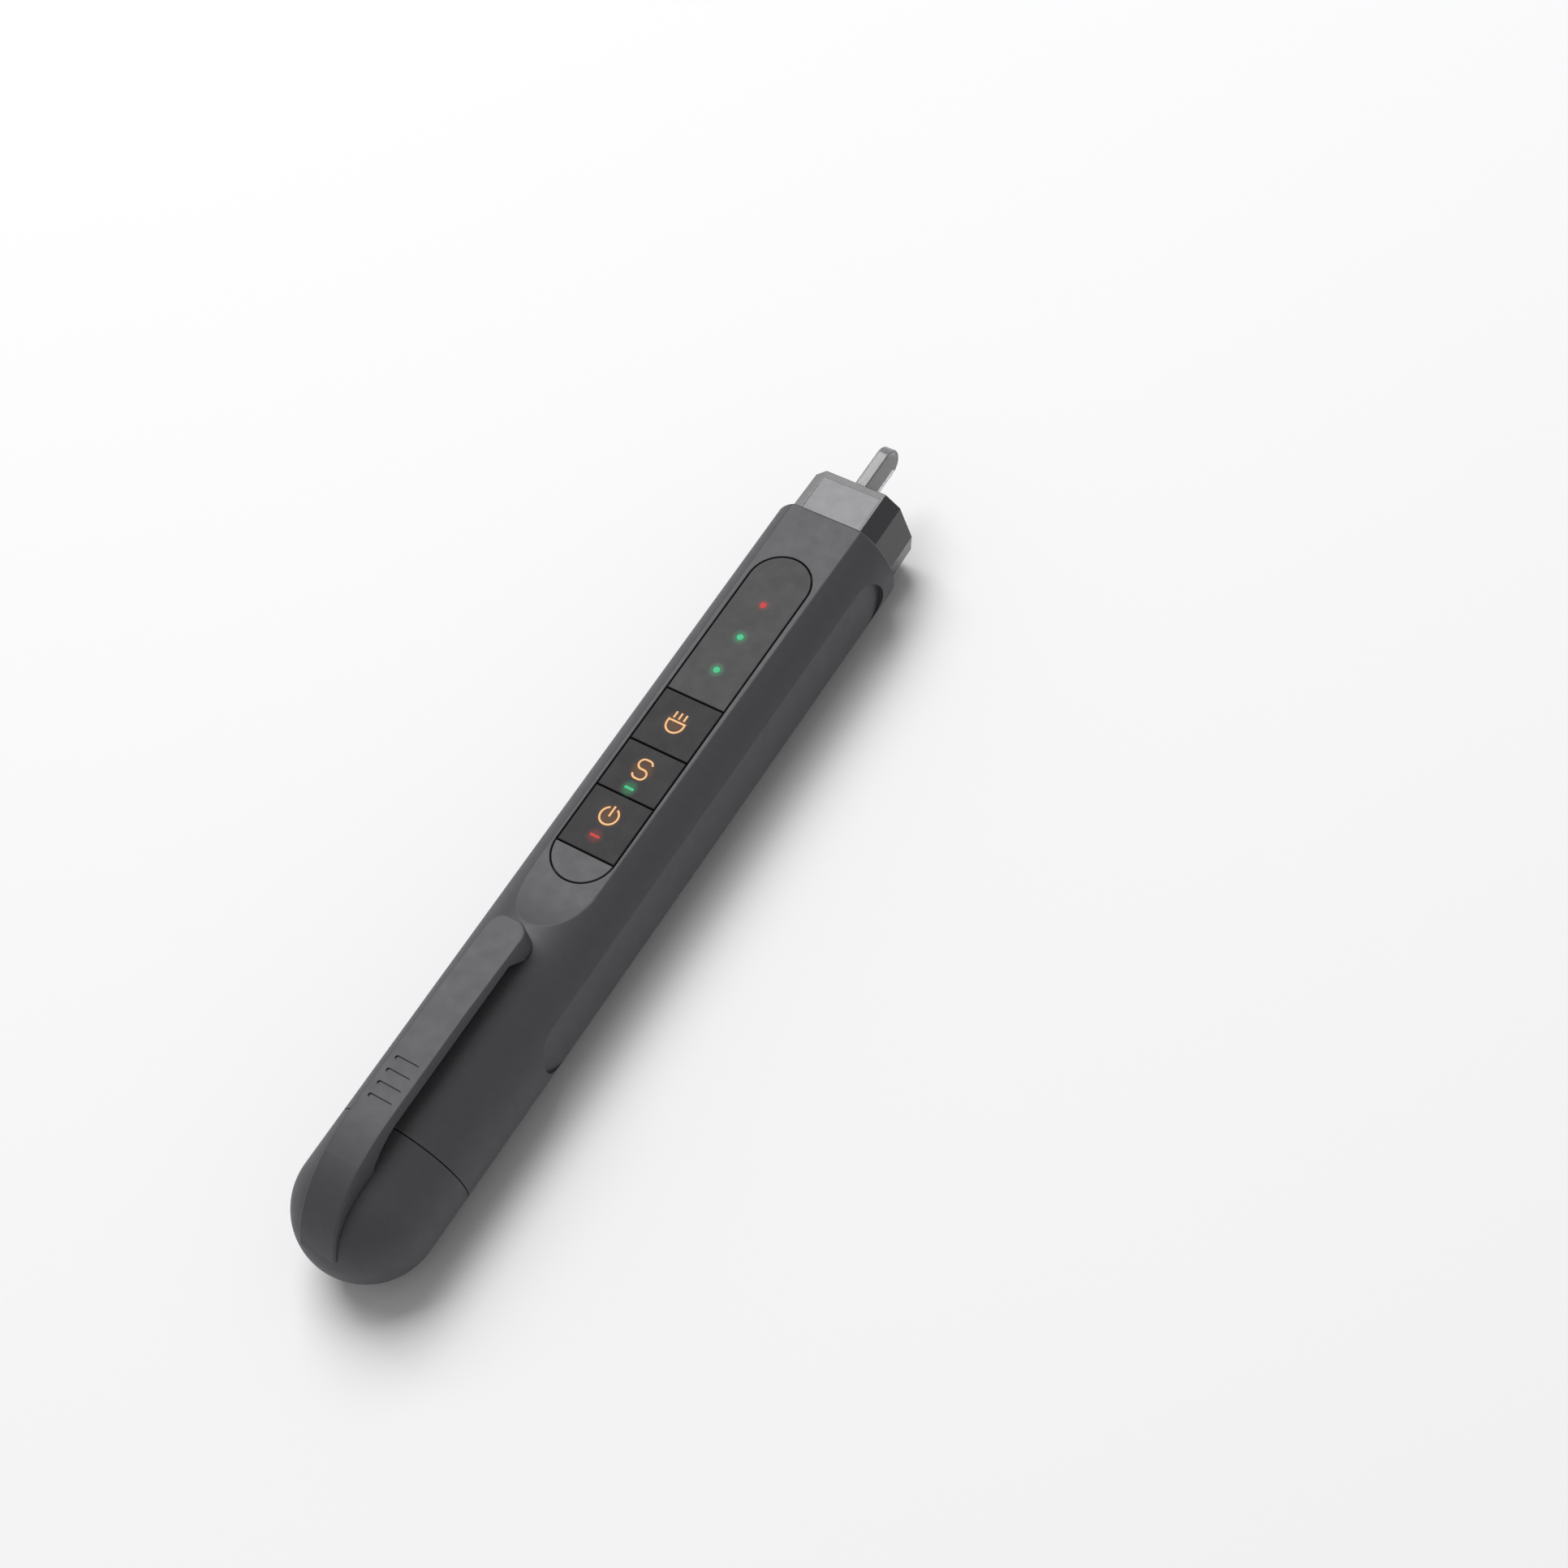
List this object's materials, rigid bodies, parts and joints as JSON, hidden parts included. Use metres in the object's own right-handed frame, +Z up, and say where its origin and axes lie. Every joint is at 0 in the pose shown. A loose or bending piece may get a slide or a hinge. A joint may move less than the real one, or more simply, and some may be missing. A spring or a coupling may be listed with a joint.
{
  "type": "non-contact voltage tester pen",
  "caption": "Pocket voltage tester pen: cylindrical barrel with a recessed key and indicator strip, pull-off tail cap with sprung pocket clip, and a flat see-through probe.",
  "frame": {"origin": "on the flat underside, half way along the pen and below the round body's axis", "axes": "+X to the pen's right, +Y along the pen towards the probe tip, +Z up out of the key panel"},
  "size_m": [0.024, 0.172, 0.0284],
  "materials": {
    "body": "fine matte moulded",
    "key": "fine matte moulded",
    "panel": "satin",
    "legend": "lit from behind",
    "green_light": "lit lens",
    "red_light": "lit lens",
    "diffuser": "milky translucent",
    "smoke": "smoky translucent",
    "clear": "clear moulded plastic",
    "antenna": "matte",
    "guide": "clear moulded plastic",
    "seal": "soft",
    "carrier": "moulded",
    "board": "lacquered laminate",
    "contact": "plated sheet",
    "steel": "bright",
    "battery": "printed sleeve, left plain",
    "switch": "moulded",
    "plunger": "moulded",
    "chip": "moulded",
    "black": "moulded"
  },
  "bodies": {
    "barrel": {"barrel": "body", "alarm_lights": "chip", "battery_front": "battery", "battery_rear": "battery", "board_screws": "steel", "buzzer": "black", "controller": "black", "green_lenses": "green_light", "indicator_lights": "chip", "indicator_panel": "panel", "inner_carrier": "carrier", "key_lights": "chip", "light_guides": "guide", "light_window": "diffuser", "main_board": "board", "mode_switch": "switch", "nose_seal": "seal", "nose_shell": "smoke", "panel_gasket": "seal", "panel_tail": "body", "positive_contact": "contact", "power_switch": "switch", "probe_tip": "clear", "red_lens": "red_light", "return_strip": "contact", "sensitivity_switch": "switch", "sensor_antenna": "antenna", "small_parts": "chip", "status_lights": "chip"},
    "mode_key": {"mode_key": "key", "mode_legend": "legend", "mode_plunger": "plunger"},
    "sensitivity_key": {"sensitivity_key": "key", "sensitivity_legend": "legend", "sensitivity_light": "green_light", "sensitivity_plunger": "plunger"},
    "power_key": {"power_key": "key", "power_legend": "legend", "power_light": "red_light", "power_plunger": "plunger"},
    "end_cap": {"end_cap": "body", "cap_seal_ring": "seal", "cap_contact": "contact", "battery_spring": "steel"},
    "pocket_clip": {"pocket_clip": "body"}
  },
  "joints": [
    {"name": "mode_press", "type": "slide", "parent": "barrel", "child": "mode_key", "axis": [0, 0, -1], "range_m": [0, 0.0004], "stiffness_N_per_m": 500, "springref_m": -0.0005},
    {"name": "sensitivity_press", "type": "slide", "parent": "barrel", "child": "sensitivity_key", "axis": [0, 0, -1], "range_m": [0, 0.0004], "stiffness_N_per_m": 500, "springref_m": -0.0005},
    {"name": "power_press", "type": "slide", "parent": "barrel", "child": "power_key", "axis": [0, 0, -1], "range_m": [0, 0.0004], "stiffness_N_per_m": 500, "springref_m": -0.0005},
    {"name": "cap_pull", "type": "slide", "parent": "barrel", "child": "end_cap", "axis": [0, -1, 0], "range_m": [0, 0.05]},
    {"name": "clip_flex", "type": "hinge", "parent": "end_cap", "child": "pocket_clip", "pos_m": [0, -0.08505, 0.01589], "axis": [1, 0, 0], "range_deg": [0, 3.5], "stiffness_Nm_per_rad": 3}
  ]
}
